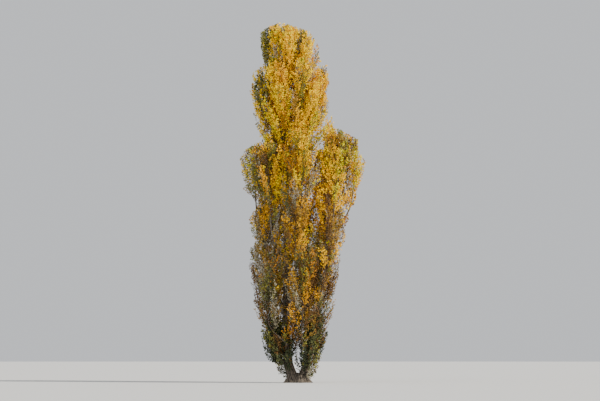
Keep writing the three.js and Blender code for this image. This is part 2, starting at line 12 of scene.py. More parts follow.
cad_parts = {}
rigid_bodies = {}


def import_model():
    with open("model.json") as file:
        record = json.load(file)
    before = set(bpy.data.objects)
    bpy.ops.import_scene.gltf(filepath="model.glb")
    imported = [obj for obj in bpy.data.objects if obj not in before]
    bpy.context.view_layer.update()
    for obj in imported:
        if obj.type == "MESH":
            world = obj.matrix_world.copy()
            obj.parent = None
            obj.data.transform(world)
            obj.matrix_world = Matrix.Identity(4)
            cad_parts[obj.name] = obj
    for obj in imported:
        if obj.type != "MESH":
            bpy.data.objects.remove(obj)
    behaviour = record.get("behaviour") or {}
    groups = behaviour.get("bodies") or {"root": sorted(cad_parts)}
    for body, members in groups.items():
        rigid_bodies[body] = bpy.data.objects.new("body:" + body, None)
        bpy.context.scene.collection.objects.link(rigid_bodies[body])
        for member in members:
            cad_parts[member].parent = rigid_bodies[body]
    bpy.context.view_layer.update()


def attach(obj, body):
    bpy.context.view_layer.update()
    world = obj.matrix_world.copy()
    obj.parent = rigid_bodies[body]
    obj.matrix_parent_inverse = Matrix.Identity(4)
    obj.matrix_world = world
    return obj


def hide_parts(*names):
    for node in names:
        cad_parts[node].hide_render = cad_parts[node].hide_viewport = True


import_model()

MM = 0.001
METRE = 1000  # in millimetres
WORD = 0xFFFFFFFF
UP = np.array([0.0, 0.0, 1.0])
GOLDEN_TURN = math.radians(137.5)
TINY = 1e-9


# Camera, floor and light.

VIEW_POINT = Vector((0.15, 0, 11.0))
CAMERA_PLACE = Vector((0.15, -110, 1.6))
FRAME_WIDTH = 36.4  # metres across the picture at the tree
SENSOR_WIDTH = 36
VIEW_DEPTH = 1200
FLOOR = dict(radius=420, sides=96, drop=0.002, color=(0.74, 0.74, 0.73), roughness=0.9)
SKY_COLOR = (0.82, 0.84, 0.87)
SKY_LIGHT = 0.55
SKY_SEEN = 0.85
SUNS = [
    dict(name="key", energy=5.2, angle=6, heading=-25, height=36, color=(1, 0.95, 0.86)),
    dict(name="fill", energy=0.8, angle=60, heading=-130, height=30, color=(0.9, 0.95, 1)),
]


def add_object(name, data):
    holder = bpy.data.objects.new(name, data)
    bpy.context.scene.collection.objects.link(holder)
    return holder


def make_camera():
    camera = bpy.data.cameras.new("camera")
    holder = add_object("camera", camera)
    holder.location = CAMERA_PLACE
    holder.rotation_euler = (VIEW_POINT - CAMERA_PLACE).to_track_quat("-Z", "Y").to_euler()
    camera.sensor_width = SENSOR_WIDTH
    camera.lens = camera.sensor_width * (VIEW_POINT - CAMERA_PLACE).length / FRAME_WIDTH
    camera.clip_end = VIEW_DEPTH
    bpy.context.scene.camera = holder


def make_sun(name, energy, angle, heading, height, color):
    """A soft sun at a bearing, 0 the right and -90 the front, and a height, both in degrees."""
    light = bpy.data.lights.new(name, "SUN")
    light.energy = energy
    light.angle = math.radians(angle)
    light.color = color
    holder = add_object(name, light)
    turn, lift = math.radians(heading), math.radians(height)
    level = math.cos(lift)
    toward = Vector((math.cos(turn) * level, math.sin(turn) * level, math.sin(lift)))
    holder.rotation_euler = toward.to_track_quat("Z", "Y").to_euler()


def make_world():
    """An even sky that gives one strength of light, and has another strength behind the tree."""
    world = bpy.data.worlds.new("studio")
    world.use_nodes = True
    tree = world.node_tree
    back = tree.nodes["Background"]
    back.inputs["Color"].default_value = (*SKY_COLOR, 1)
    seen = add_node(tree, "LightPath")["Is Camera Ray"]
    feed(tree, back.inputs["Strength"], add_mix(tree, "FLOAT", seen, SKY_LIGHT, SKY_SEEN))
    bpy.context.scene.world = world


def make_floor():
    bm = bmesh.new()
    bmesh.ops.create_circle(bm, cap_ends=True, radius=FLOOR["radius"], segments=FLOOR["sides"])
    bmesh.ops.translate(bm, verts=bm.verts, vec=(0, 0, -FLOOR["drop"]))
    material, _, shader = new_material("pale_floor", FLOOR["roughness"])
    shader.inputs["Base Color"].default_value = (*FLOOR["color"], 1)
    floor = add_piece("floor", bm, [material])


# Shared making of pieces and materials.


def add_piece(name, bm, materials, smooth=False):
    mesh = bpy.data.meshes.new(name)
    bm.to_mesh(mesh)
    bm.free()
    return add_mesh(name, mesh, materials, smooth)


def add_mesh(name, mesh, materials, smooth=False):
    for material in materials:
        mesh.materials.append(material)
    mesh.polygons.foreach_set("use_smooth", np.full(len(mesh.polygons), smooth))
    return add_object(name, mesh)


def array_mesh(name, places, faces, tints=None):
    """A mesh from places in millimetres and arrays of faces with three or four corners."""
    mesh = bpy.data.meshes.new(name)
    mesh.vertices.add(len(places))
    mesh.vertices.foreach_set("co", (places * MM).astype(np.float32).ravel())
    corners = np.concatenate([group.ravel() for group in faces]).astype(np.int32)
    sizes = np.concatenate([np.full(len(group), group.shape[1]) for group in faces])
    mesh.loops.add(len(corners))
    mesh.loops.foreach_set("vertex_index", corners)
    mesh.polygons.add(len(sizes))
    starts = np.concatenate([[0], np.cumsum(sizes)[:-1]]).astype(np.int32)
    mesh.polygons.foreach_set("loop_start", starts)
    if tints is not None:
        mesh.polygons.foreach_set("material_index", tints.astype(np.int32))
    mesh.update(calc_edges=True)
    return mesh


def linear(color):
    """A colour given as 0xRRGGBB, on the scale that shaders read."""
    shares = [((color >> step) & 255) / 255 for step in (16, 8, 0)]
    return tuple(s / 12.92 if s <= 0.04045 else ((s + 0.055) / 1.055) ** 2.4 for s in shares)


def new_material(name, roughness=0.8):
    material = bpy.data.materials.new(name)
    material.use_nodes = True
    shader = material.node_tree.nodes["Principled BSDF"]
    shader.inputs["Roughness"].default_value = roughness
    return material, material.node_tree, shader


# Chance, and the crown's outline.

SEED = 4239  # for the masses and limbs
FOLIAGE_SEED = 4242  # for the twigs and leaves
OUTLINE = np.array(  # a height, and how far the crown reaches there to the left and to the right
    [
        (0, 900, 900), (1300, 1870, 1500), (2900, 2260, 1850), (4500, 2800, 2160),
        (7600, 2900, 2650), (9200, 2900, 2900), (10800, 2950, 3430), (12400, 3400, 3900),
        (13400, 3600, 4060), (14750, 3400, 3670), (15700, 2600, 2600), (16500, 2700, 1850),
        (17500, 2900, 1800), (18700, 2740, 1600), (19500, 2100, 1370), (20400, 2300, 1130),
        (21400, 2270, 600), (22000, 1700, -700),
    ]
)
LOBES = np.array(  # a height, and how much further the leaves reach there than the outline
    [
        (9900, 0, 0), (10500, -450, 0), (11100, -350, 0), (11700, 0, 0),
        (13500, 0, 0), (14200, -550, 0), (14600, -1100, 0), (15100, -700, -200),
        (15600, 0, -450), (16200, 0, 0), (17600, 0, 0), (18300, 0, 300),
        (19200, 0, 350), (20000, 0, 200), (21200, 0, 200), (22000, 0, 0),
    ]
)
EDGE = 1.06  # how far the leaves reach, as a share of the outline, and how much waves take off it
BUMPS = 0.05
SWELLS = [(3, 610, 0), (5, -340, 2), (1, 190, 0)]  # each wave's turns, rise and shift
LEAVES_FROM = 160
TREE_HEIGHT = 22000
CROWN_TOP = 22160
TOP_BUMPS = 90  # how much the top goes up and down, and the length of its waves across and back
TOP_WAVES = (210, 260)
TOP_ROUND = 900  # how much lower the leaves stop at the front and back edges of the top
TOP_ROUND_ACROSS = 0.8  # the same at the sides, as a share
DEPTH_SHARE = 0.95  # the crown's depth as a share of its width, and the most that half of it is
DEPTH_MOST = 2750


def dice(seed):
    """A repeatable source of chance: a function whose every call gives a number from 0 to 1."""
    state = seed & WORD

    def roll():
        nonlocal state
        state = (state + 0x6D2B79F5) & WORD
        t = ((state ^ (state >> 15)) * (1 | state)) & WORD
        t = ((t + (((t ^ (t >> 7)) * (61 | t)) & WORD)) & WORD) ^ t
        return (t ^ (t >> 14)) / (WORD + 1)

    return roll


def mix(a, b, share):
    return a + (b - a) * share


def ramp(value, start, end):
    """How far a value is on its way from a start to an end, from 0 to 1."""
    return min(max((value - start) / (end - start), 0), 1)


def sides_at(height, table):
    return (np.interp(height, table[:, 0], table[:, side]) for side in (1, 2))


def crown_at(height):
    """The crown's middle, half width and half depth at a height or at many."""
    left, right = sides_at(height, OUTLINE)
    half = (left + right) / 2
    return (right - left) / 2, half, np.minimum(half * DEPTH_SHARE, DEPTH_MOST)


def in_crown(points):
    """Which points lie in the crown, whose edge goes in and out a little round it and up it."""
    x, y, height = points[..., 0], points[..., 1], points[..., 2]
    middle, half, deep = crown_at(height)
    left, right = sides_at(height, LOBES)
    middle, half = middle + (right - left) / 2, half + (right + left) / 2
    across, back = (x - middle) / half, y / deep
    bearing = np.arctan2(back, across)
    swell = sum(np.sin(turns * bearing + height / rise + shift) for turns, rise, shift in SWELLS)
    edge = EDGE - BUMPS * (1 - swell / len(SWELLS))
    top = CROWN_TOP - TOP_BUMPS * (1 + np.sin(x / TOP_WAVES[0] + 1) * np.cos(y / TOP_WAVES[1]))
    top = top - TOP_ROUND * (back**2 + TOP_ROUND_ACROSS * across**2)
    return (np.hypot(across, back) <= edge) & (height < top) & (height > LEAVES_FROM)


# The masses of leaves, which stand in rings.

# Branches are counted to a metre of stem and leaves to a shoot, and size is a leaf's length.
RINGS = [
    dict(
        name="skirt", count=4, turn=32, base=300, top=4300, girth=900, lean=9,
        branches=9, leaves=6, size=106,
    ),
    dict(
        name="inner", count=1, turn=270, base=1500, top=6300, girth=850, lean=1, reach=0.08,
        aside=100, branches=9, leaves=6, size=100,
    ),
    dict(
        name="low", count=6, turn=-10, base=3100, top=8400, girth=1150, lean=8, reach=1.03,
        depart=1300, step=120, branches=6.5, leaves=5, size=102,
    ),
    dict(
        name="middle", count=6, turn=26, base=6400, top=12600, girth=1200, lean=4,
        depart=2700, step=380, branches=6, leaves=5, size=108,
    ),
    dict(
        name="core", count=1, turn=90, base=5600, top=11200, girth=900, lean=1, reach=0.1,
        aside=250, branches=6, leaves=5, size=108,
    ),
    dict(
        name="shoulder", count=8, turn=0, base=10100, top=15300, girth=1150, lean=4, rise=350,
        depart=5600, step=400, branches=6.5, leaves=5, size=114,
    ),
    dict(
        name="heart", count=2, turn=0, base=10000, top=16200, girth=950, lean=1, reach=0.5,
        branches=10, leaves=5, size=114,
    ),
    dict(
        name="upper", count=6, turn=0, base=13200, top=19500, girth=1150, lean=-1, rise=-150,
        branches=7.5, leaves=5, size=116,
    ),
    dict(
        name="top", count=4, turn=180, base=17300, top=22700, girth=1050, lean=-3, rise=-150,
        drift=-350, branches=8.5, leaves=6, size=114,
    ),
]
# The sprays on the stems are like those of this ring.
STEM_SPRAYS = next(ring for ring in RINGS if ring["name"] == "heart")
SKIRT_BEARINGS = [32, 148, 212, 328]
INSET = 0.7  # how far in from the outline a mass's axis stands, in girths
WIDEST = 0.48  # how far up a mass is widest
FULLNESS = 0.34
SPACE_MOST = 1.7  # how far out a mass's space goes, in half widths
NEIGHBOUR_CLEARANCE = 0.01
SLEEVE_APART = 0.55  # how deep in a mass the limbs' own sprays stop, in half widths
BARE = dict(heart=0.04, upper=0.15, top=0.12)  # the share of a mass's foot that neighbours fill
HEIGHT_SPREAD = 320
STRIDE = 5  # the steps round a ring in which its boughs follow each other up the stem
HEIRS = {"stem_left": "top_1", "stem_right": "shoulder_1"}  # the masses in which the stems end


class Mass:
    """One mass of leaves and the straight axis of its space."""

    def __init__(self, ring, order, roll):
        even = ring["turn"] + 360 / ring["count"] * order
        bearing = math.radians(SKIRT_BEARINGS[order] if ring["name"] == "skirt" else even)
        self.name = f"{ring['name']}_{order + 1}"
        self.ring = ring
        self.order = order
        self.girth = ring["girth"]
        self.out = np.array([math.cos(bearing), math.sin(bearing), 0.0])
        base = ring["base"] + (2 * roll() - 1) * HEIGHT_SPREAD
        top = ring["top"] + (2 * roll() - 1) * HEIGHT_SPREAD + ring.get("rise", 0) * self.out[0]
        widest = mix(base, top, WIDEST)
        middle, half, deep = crown_at(widest)
        inset = self.girth * INSET
        reach = ring.get("reach", 1)
        x = middle + (half - inset) * self.out[0] * reach + ring.get("aside", 0)
        y = (deep - inset) * self.out[1] * reach
        slope = math.tan(math.radians(ring["lean"]))
        self.base = np.array([x, y, widest]) - self.out * slope * (widest - base)
        self.base[2] = base
        self.top = np.array([x, y, widest]) + self.out * slope * (top - widest)
        self.top[0] += ring.get("drift", 0)
        self.top[2] = top
        self.axis = self.top - self.base
        self.stem = self.holder = self.spine = None

    def edge_share(self, points):
        """How near the edge of the mass's flame points are: 0 on its axis and 1 at its edge."""
        offset = points - self.base
        share = offset @ self.axis / (self.axis @ self.axis)
        inside = (share > BARE.get(self.ring["name"], 0)) & (share < 1)
        bend = np.clip(share, TINY, 1) ** (math.log(0.5) / math.log(WIDEST))
        half = np.clip(np.sin(np.pi * bend), 0, None) ** FULLNESS * self.girth
        away = np.linalg.norm(offset - share[..., None] * self.axis, axis=-1)
        return np.where(inside & (half >= 1), away / np.maximum(half, 1), np.inf)

    def holds(self, points, near):
        """Which points lie in the crown, and nearer to this mass than to any other."""
        own = self.edge_share(points)
        inside = (own <= SPACE_MOST) & in_crown(points)
        for other in near:
            inside &= other.edge_share(points) > own + NEIGHBOUR_CLEARANCE
        return inside


class Sleeve:
    """The outer part of a mass's limb, which bears short sprays where no mass is dense."""

    def __init__(self, mass):
        self.out = mass.out
        self.ring = mass.ring if mass.holder.parent else STEM_SPRAYS
        self.spine = self.holder = mass.holder

    def holds(self, points, near):
        free = in_crown(points)
        for other in near:
            free &= other.edge_share(points) > SLEEVE_APART
        return free


def neighbours(mass, masses):
    middle = (mass.base + mass.top) / 2
    half = np.linalg.norm(mass.axis) / 2
    near = []
    for other in masses:
        share = np.clip((middle - other.base) @ other.axis / (other.axis @ other.axis), 0, 1)
        away = np.linalg.norm(other.base + other.axis * share - middle)
        if other is not mass and away < half + (mass.girth + other.girth) * SPACE_MOST:
            near.append(other)
    return near


# The limbs: two stems, and boughs that leave them.

FORK_CUT = 1000
STEM_TAPER = 0.9
STEM_LEFT = dict(
    foot=320, tip=42, steps=14,
    points=[
        (-230, 0, 200), (-540, 0, 1150), (-700, 20, 3000),
        (-650, 60, 7000), (-780, -30, 11500), (-700, 30, 15000),
    ],
)
STEM_RIGHT = dict(
    foot=285, tip=50, steps=10,
    points=[(210, 0, 200), (570, 0, 1150), (640, -40, 3000), (800, 20, 6200)],
)
BOUGH = dict(foot=110, share=0.62, tip=46, taper=0.8, collar=0.3, fade=14, steps=5, angle=27)
SPINE = dict(foot=46, tip=24, steps=3, angle=24, ends=0.86, drop=350, least=605)
SHOOT = dict(start=200, height=430, angle=60)
HOLD_DROP = 1500  # a mass goes with the stem that is nearer this far below it
HOLD_MARGIN = 500  # and with the left one if it stands so far above the right one's end
GAP = 0.3
LIMB_CLEARANCE = 22
FOOT_SHIFT = 150  # how far a limb's foot, and its way, are moved to find it room
WAY_SHIFT = 260
SHIFTS = [0, 1, -1, 2, -2, 3]
SAMPLES = 3  # how many samples the clearance test takes of each of a limb's steps
PARTS = 5  # it starts after the first of so many parts of the limb
STEP_AWAY = 1e-4
HALVINGS = 30


def unit(vector):
    return vector / np.linalg.norm(vector, axis=-1, keepdims=True)


def stem_curve(points):
    """A smooth curve through points, even in speed between them."""
    points = np.array(points, dtype=float)
    last = len(points) - 1

    def place(share):
        way = share * last
        i = min(int(way), last - 1)
        w = way - i
        b, c = points[i], points[i + 1]
        a = points[i - 1] if i else 2 * b - c
        d = points[i + 2] if i + 2 <= last else 2 * c - b
        ab, bc, cd = (((q - p) @ (q - p)) ** 0.25 for p, q in ((a, b), (b, c), (c, d)))
        leave = ((b - a) / ab - (c - a) / (ab + bc) + (c - b) / bc) * bc
        arrive = ((c - b) / bc - (d - b) / (bc + cd) + (d - c) / cd) * bc
        square, cube = 3 * (c - b) - 2 * leave - arrive, 2 * (b - c) + leave + arrive
        return b + leave * w + square * w**2 + cube * w**3

    return place


def way_curve(start, leaving, end, arrival, aside):
    """The curve from a foot to a point, with its directions there, and with its way moved aside."""
    third = np.linalg.norm(end - start) / 3
    across = unit(np.cross(UP, end - start)) * aside
    a, b, c, d = start, start + leaving * third, end - arrival * third + across, end

    def place(t):
        s = 1 - t
        return a * s**3 + 3 * b * s * s * t + 3 * c * s * t * t + d * t**3

    return place


def reach_curve(start, end, arrival, angle, aside):
    """The same from a stem, which it leaves at an angle."""
    outward = end - start
    outward[2] = 0
    turn = math.radians(angle)
    leaving = UP * math.cos(turn) + unit(outward) * math.sin(turn)
    return way_curve(start, leaving, end, arrival, aside)


class Limb:
    """A limb: its place and radius along it, with samples that the clearance test reads."""

    def __init__(self, name, place, shape, radius):
        self.name = name
        self.place = place
        self.radius = radius
        count = shape["steps"] * SAMPLES
        self.points = np.array([place(i / count) for i in range(count + 1)])
        self.radii = np.array([radius(i / count) for i in range(count + 1)])
        self.parent = None

    def along(self, share):
        return unit(self.place(min(share + STEP_AWAY, 1)) - self.place(max(share - STEP_AWAY, 0)))

    def share_at(self, height):
        low, high = 0.0, 1.0
        for _ in range(HALVINGS):
            middle = (low + high) / 2
            low, high = (middle, high) if self.place(middle)[2] < height else (low, middle)
        return low

    def clearance(self, points):
        """How far points lie from the limb's bark."""
        a, b = self.points[:-1], self.points[1:]
        ab = b - a
        share = np.einsum("psk,sk->ps", points[:, None] - a, ab) / np.einsum("sk,sk->s", ab, ab)
        nearest = a + np.clip(share, 0, 1)[..., None] * ab
        return (np.linalg.norm(points[:, None] - nearest, axis=2) - self.radii[:-1]).min(axis=1)

    def passes(self, others):
        start = len(self.points) // PARTS
        way, radii = self.points[start:], self.radii[start:]
        return all((other.clearance(way) > radii + LIMB_CLEARANCE).all() for other in others)


def find_way(make, mass, others):
    for rise in SHIFTS:
        for aside in SHIFTS:
            limb = make(mass, rise * FOOT_SHIFT, aside * WAY_SHIFT)
            if limb.passes(others):
                return limb
    return make(mass, 0, 0)


def make_stem(name, shape, masses):
    heir = next(mass for mass in masses if mass.name == HEIRS[name])
    place = stem_curve([*shape["points"], heir.base])
    return Limb(name, place, shape, lambda t: mix(shape["foot"], shape["tip"], t**STEM_TAPER))


def make_bough(mass, rise, aside):
    ring, stem = mass.ring, mass.stem
    height = ring["depart"] + ring["step"] * ((mass.order * STRIDE) % ring["count"]) + rise
    share = stem.share_at(max(height, FORK_CUT + 2 * FOOT_SHIFT))
    place = reach_curve(stem.place(share), mass.base, unit(mass.axis), BOUGH["angle"], aside)
    foot = min(BOUGH["foot"], BOUGH["share"] * stem.radius(share))

    def radius(t):
        collar = 1 + BOUGH["collar"] * math.exp(-BOUGH["fade"] * t)
        return mix(foot, BOUGH["tip"], t ** BOUGH["taper"]) * collar

    return Limb(f"bough_{mass.name}", place, BOUGH, radius)


def make_spine(mass, rise, aside):
    highest = (TREE_HEIGHT - SPINE["least"] - mass.base[2]) / mass.axis[2]
    end = mass.base + mass.axis * min(SPINE["ends"], highest)
    along = unit(mass.axis)
    foot = SPINE["foot"]
    if mass.holder:
        leaving = mass.holder.along(1)
        place = way_curve(mass.holder.place(1) + leaving * GAP, leaving, end, along, aside)
        foot = mass.holder.radius(1)
    elif mass.ring["name"] == "skirt":
        start = np.array([SHOOT["start"] * np.sign(mass.out[0]), 0, SHOOT["height"] + rise])
        place = reach_curve(start, end, along, SHOOT["angle"], aside)
    else:
        tip_height = mass.stem.place(1)[2]
        height = min(mass.base[2], tip_height - mass.order * SPINE["drop"]) - SPINE["drop"] + rise
        start = mass.stem.place(mass.stem.share_at(height))
        place = reach_curve(start, end, along, SPINE["angle"], aside)
    return Limb(f"spine_{mass.name}", place, SPINE, lambda t: mix(foot, SPINE["tip"], t))


def hold_masses(masses, stems):
    """Gives each mass the limb that holds it, and the stem inside it."""
    left, right = stems
    boughs = []
    made = [*stems]

    def apart(stem, mass):
        beside = stem.place(min(1, stem.share_at(mass.base[2] - HOLD_DROP)))
        return np.linalg.norm((beside - mass.base)[:2])

    for mass in masses:
        high = mass.base[2] > right.place(1)[2] + HOLD_MARGIN
        mass.stem = right if not high and apart(right, mass) < apart(left, mass) else left
        mass.holder = next((own for own in stems if HEIRS[own.name] == mass.name), None)
        if "depart" in mass.ring and not mass.holder:
            others = [other for other in made if other is not mass.stem]
            bough = find_way(make_bough, mass, others)
            bough.parent = mass.stem
            mass.holder = bough
            boughs.append(bough)
            made.append(bough)
        rest = [other for other in made if other is not mass.stem and other is not mass.holder]
        mass.spine = find_way(make_spine, mass, rest)
        made.append(mass.spine)
    return boughs


# Bark.

BOLE = dict(
    radius=440, top=600, flare=230, fade=300, wide=1.28, lobes=5, lobe=0.14, turn=0.7,
    sides=64, rings=40,
)
BOLE_PROFILE = [(0, 1), (0.25, 1), (0.5, 0.98), (0.75, 0.88), (0.92, 0.62), (1, 0)]
STEM_SIDES = 28
STEM_RINGS = (150, 110)
BOUGH_SIDES = 18
BOUGH_RINGS = 56

# The bark's skin and relief, in metres.

SKIN = 0.021  # how fine the skin of the bole and stems is
FLAT_BELOW = 0.03  # the skin is flat on the ground below this height
DEPTH_FOOT = 0.015  # how far the bark stands out at the ground, and from a height up
DEPTH_TOP = 0.0035
DEPTH_HEIGHT = 15
RIDGE_ACROSS = 0.085  # how far apart the bark's ridges stand, and how long they are
RIDGE_LENGTH = 0.62
# The noise that bends the ridges and makes them uneven: its share, fineness and shift up.
WAVE = dict(share=0.9, across=3, up=0.8, lift=0)
FINE = dict(share=0.35, across=31, up=9, lift=0)
SWELL = dict(share=1.3, across=1.4, up=0.5, lift=7)
BOLE_WRAP = 0.5  # below the stems the bark's pattern is laid round the bole, at this radius
BOLE_WRAP_FROM = 0.4
BOLE_WRAP_TO = 0.75


def rod(sides, rings):
    """A closed upright rod of radius 1 and height 1, cut into rings."""
    bm = bmesh.new()
    bmesh.ops.create_cone(bm, cap_ends=True, segments=sides, radius1=1, radius2=1, depth=1)
    bmesh.ops.translate(bm, verts=bm.verts, vec=(0, 0, 0.5))
    upright = [e for e in bm.edges if abs(e.verts[0].co.z - e.verts[1].co.z) > 0.5]
    bmesh.ops.subdivide_edges(bm, edges=upright, cuts=rings - 1)
    return bm


def bend_rod(bm, limb):
    """Bends and tapers a rod to a limb."""
    for vert in bm.verts:
        share = min(max(vert.co.z, 0), 1)
        along = limb.along(share)
        side = unit(np.cross((0, 1, 0), along))
        back = np.cross(along, side)
        place = limb.place(share) + (side * vert.co.x + back * vert.co.y) * limb.radius(share)
        vert.co = Vector(place * MM)
    return bm


def bole_rod():
    """The bole's foot, with root lobes that fade upwards, wider across the fork."""
    bm = rod(BOLE["sides"], BOLE["rings"])
    levels = [row[0] for row in BOLE_PROFILE]
    shares = [row[1] for row in BOLE_PROFILE]
    for vert in bm.verts:
        height = vert.co.z * BOLE["top"]
        fade = math.exp(-height / BOLE["fade"])
        radius = BOLE["radius"] * float(np.interp(vert.co.z, levels, shares)) + BOLE["flare"] * fade
        turn = math.atan2(vert.co.y, vert.co.x)
        radius *= 1 + math.cos(BOLE["lobes"] * turn + BOLE["turn"]) * BOLE["lobe"] * fade
        vert.co = Vector((vert.co.x * radius * BOLE["wide"], vert.co.y * radius, height)) * MM
    return bm


def bark_noise(point, shape):
    across, up = shape["across"], point.z * shape["up"] + shape["lift"]
    return noise.noise(Vector((point.x * across, point.y * across, up)))


def bark_relief(point, depth):
    """How far the bark stands out at a point: upright plates with furrows between them."""
    across, up = 1 / RIDGE_ACROSS, 1 / RIDGE_LENGTH
    pull = BOLE_WRAP / max(math.hypot(point.x, point.y), BOLE_WRAP / 2)
    pull = mix(pull, 1, ramp(point.z, BOLE_WRAP_FROM, BOLE_WRAP_TO))
    point = Vector((point.x * pull, point.y * pull, point.z))
    wave = bark_noise(point, WAVE) * WAVE["share"]
    place = Vector((point.x * across + wave, point.y * across, point.z * up + wave))
    ridge = 1 - 2 * abs(noise.noise(place))
    fine = FINE["share"] * bark_noise(point, FINE)
    return depth * (ridge + fine) + SWELL["share"] * depth * bark_noise(point, SWELL)


def joined(forms):
    """One form of several, which are used up."""
    whole = bmesh.new()
    for form in forms:
        mesh = bpy.data.meshes.new("form")
        form.to_mesh(mesh)
        form.free()
        whole.from_mesh(mesh)
        bpy.data.meshes.remove(mesh)
    return whole


def join_skin(name, forms, size):
    """One skin over several closed forms that lap."""
    piece = add_piece(name, joined(forms), [])
    remesh = piece.modifiers.new("skin", "REMESH")
    remesh.mode = "VOXEL"
    remesh.voxel_size = size
    skinned = piece.evaluated_get(bpy.context.evaluated_depsgraph_get())
    mesh = bpy.data.meshes.new_from_object(skinned)
    bpy.data.objects.remove(piece)
    return mesh


def make_bole_and_stems(stems, material):
    forms = [bole_rod()]
    for stem, rings in zip(stems, STEM_RINGS):
        forms.append(bend_rod(rod(STEM_SIDES, rings), stem))
    mesh = join_skin("bole_and_stems", forms, SKIN)
    mesh.name = "bole_and_stems"
    places = [vert.co.copy() for vert in mesh.vertices]
    normals = [vert.normal.copy() for vert in mesh.vertices]
    for vert, place, normal in zip(mesh.vertices, places, normals):
        depth = mix(DEPTH_FOOT, DEPTH_TOP, min(place.z / DEPTH_HEIGHT, 1))
        moved = place + normal * bark_relief(place, depth)
        moved.z = 0 if place.z < FLAT_BELOW else max(moved.z, 0)
        vert.co = moved
    piece = add_mesh("bole_and_stems", mesh, [material], smooth=True)
    finish_piece(piece, ["trunk", "stem_left", "stem_right"])


def make_boughs(boughs, material):
    forms = []
    for bough in boughs:
        bm = bend_rod(rod(BOUGH_SIDES, BOUGH_RINGS), bough)
        bm.normal_update()
        moves = [(vert, vert.normal * bark_relief(vert.co, DEPTH_TOP)) for vert in bm.verts]
        for vert, move in moves:
            vert.co += move
        forms.append(bm)
    piece = add_piece("boughs", joined(forms), [material], smooth=True)
    finish_piece(piece, [bough.name for bough in boughs])


def finish_piece(piece, nodes):
    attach(piece, "root")
    if nodes:
        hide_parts(*nodes)


# Twigs and leaves.

# How each level of growth leaves its parent, bends, tapers and keeps clear of limbs.
BRANCH = dict(
    angle=36, spread=12, wide=28, wide_to=0.3, first=0.02, last=0.97, share=1, jitter=0.03,
    turn=0.4, most=3300, least=300, step=50, beyond=150, bend=0.45, foot=15, tip=5, rings=5,
    tested=0.4, margin=12,
)
SLEEVE_BRANCH = dict(BRANCH, first=0.45, last=0.99, most=500, least=150, share=0.5)
TWIG = dict(
    angle=22, spread=9, spacing=215, foot_length=780, tip_length=360, bend=0.22, foot=7, tip=3,
    rings=3, tested=0.5, margin=10,
)
LEAFY = dict(
    angle=36, spread=16, spacing=112, foot_length=310, tip_length=190, bend=0.1, foot=3.5, tip=1.5,
    rings=2, tested=0.5, margin=8,
)
OFFSHOOT = dict(
    place=0.6, jitter=0.3, least=0.08, turn=0.6, last=0.25, lift=0.1, lengths=(0.75, 1.2)
)
SHORTER = (1, 0.8, 0.62, 0.45)  # the shares of a twig's length that are tried in its space
NEAR_LIMB = 400
SPINE_ROD = dict(points=13, tip=9, sides=6)
SKEW = np.array([0.31, 0.94, 0.11])  # a direction in which no twig runs


class Growth:
    """Many twigs at once: where each starts and heads, its length, and the branch it belongs to."""

    def __init__(self, start, heading, length, bend, out, family):
        self.start, self.heading, self.length = start, heading, length
        self.bend, self.out, self.family = bend, out, family

    def place(self, share):
        way = (self.length * share)[:, None]
        rise = self.bend * self.length * (share * share)
        return self.start + self.heading * way + UP * rise[:, None]

    def along(self, share):
        return unit(self.heading + UP * (2 * self.bend * share)[:, None])

    def keep(self, chosen):
        parts = (self.start, self.heading, self.length, self.bend, self.out, self.family)
        return Growth(*(part[chosen] for part in parts))


def turned(vector, axis, angle):
    """Vectors square to an axis, turned about it."""
    return vector * np.cos(angle)[:, None] + np.cross(axis, vector) * np.sin(angle)[:, None]


def leaning(along, out, angle):
    return along * np.cos(angle)[:, None] + out * np.sin(angle)[:, None]


def squared(vector, axis):
    return unit(vector - axis * np.einsum("nk,nk->n", vector, axis)[:, None])


def varied(most, count, rng):
    return rng.uniform(-most, most, count)


def clear_of_limbs(points, limbs, margin):
    clear = np.ones(len(points), dtype=bool)
    for limb in limbs:
        low, high = limb.points.min(axis=0) - NEAR_LIMB, limb.points.max(axis=0) + NEAR_LIMB
        close = np.flatnonzero(((points > low) & (points < high)).all(axis=1))
        if len(close):
            clear[close] &= limb.clearance(points[close]) > margin
    return clear


def keep_clear(growth, limbs, shape):
    """Drops what touches a limb, halfway or at its tip."""
    clear = clear_of_limbs(growth.place(shape["tested"]), limbs, shape["margin"])
    return growth.keep(clear & clear_of_limbs(growth.place(1), limbs, shape["margin"]))


def fitted(growth, mass, near, limbs, shape):
    """Shortens what leaves its mass's space, and drops what still does or touches a limb."""
    fits = np.zeros(len(growth.length), dtype=bool)
    for share in SHORTER:
        ends = mass.holds(growth.place(share), near)
        middles = mass.holds(growth.place(share / 2), near)
        now = ends & middles & ~fits
        growth.length = np.where(now, growth.length * share, growth.length)
        fits |= now
    return keep_clear(growth.keep(fits), limbs, shape)


